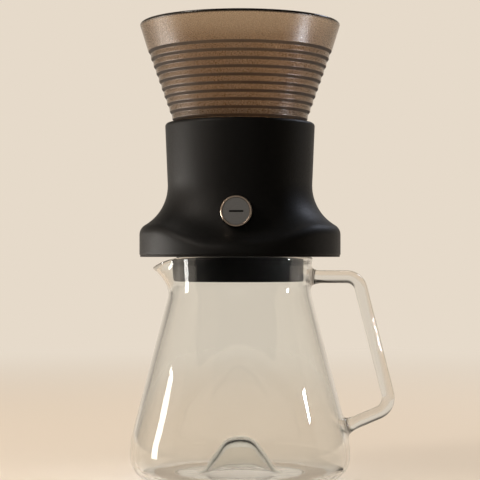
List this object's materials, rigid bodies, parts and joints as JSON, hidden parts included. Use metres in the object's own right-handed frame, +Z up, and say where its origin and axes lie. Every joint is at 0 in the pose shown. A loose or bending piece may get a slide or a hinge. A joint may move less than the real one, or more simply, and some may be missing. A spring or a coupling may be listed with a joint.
{
  "type": "pour-over coffee dripper",
  "caption": "Pour-over coffee dripper: ribbed smoky brewing cone in a flared black stand with a front release knob, on a glass carafe with spout and rod handle.",
  "frame": {"origin": "centre of the carafe's standing ring, on the table", "axes": "+Z up along the common axis of carafe, stand and cone; the knob faces -Y, the spout -X and the handle +X"},
  "size_m": [0.153, 0.1274, 0.263],
  "materials": {
    "clear_glass": "clear blown borosilicate glass",
    "black_plastic": "fine-textured matte black moulding",
    "smoke_plastic": "smoky brown translucent copolyester, satin",
    "grey_acetal": "smooth grey acetal",
    "silicone": "matte moulded silicone",
    "steel": "brushed stainless steel",
    "satin_grey_metal": "bead-blasted grey anodised aluminium",
    "champagne_metal": "turned champagne anodised aluminium",
    "dash_black": "black filled groove"
  },
  "bodies": {
    "carafe": {"carafe_glass": "clear_glass", "carafe_handle": "clear_glass"},
    "stand": {"housing_shell": "black_plastic", "base_plate": "black_plastic", "base_screws": "steel", "rim_gasket": "silicone", "cone_seat": "grey_acetal", "cone_gasket": "silicone", "valve_barrel": "grey_acetal", "valve_screws": "steel", "port_seal_lower": "silicone", "port_seal_upper": "silicone", "stem_gland": "grey_acetal", "gland_screws": "steel", "drip_nozzle": "silicone"},
    "valve": {"valve_plug": "grey_acetal", "plug_o_rings": "silicone", "valve_stem": "steel", "knob_core": "black_plastic", "knob_screw": "steel", "knob_bezel": "champagne_metal", "knob_face": "satin_grey_metal", "knob_dash": "dash_black"},
    "chamber": {"brew_cone": "smoke_plastic", "outlet_o_ring": "silicone"},
    "filter": {"filter_plate": "steel"}
  },
  "joints": [
    {"name": "stand_lift", "type": "slide", "parent": "carafe", "child": "stand", "axis": [0, 0, 1], "range_m": [0, 0.06]},
    {"name": "cone_lift", "type": "slide", "parent": "stand", "child": "chamber", "axis": [0, 0, 1], "range_m": [0, 0.08]},
    {"name": "filter_lift", "type": "slide", "parent": "chamber", "child": "filter", "axis": [0, 0, 1], "range_m": [0, 0.1]},
    {"name": "knob_turn", "type": "hinge", "parent": "stand", "child": "valve", "pos_m": [0, -0.05, 0.1531], "axis": [0, 1, 0], "range_deg": [0, 90]}
  ]
}
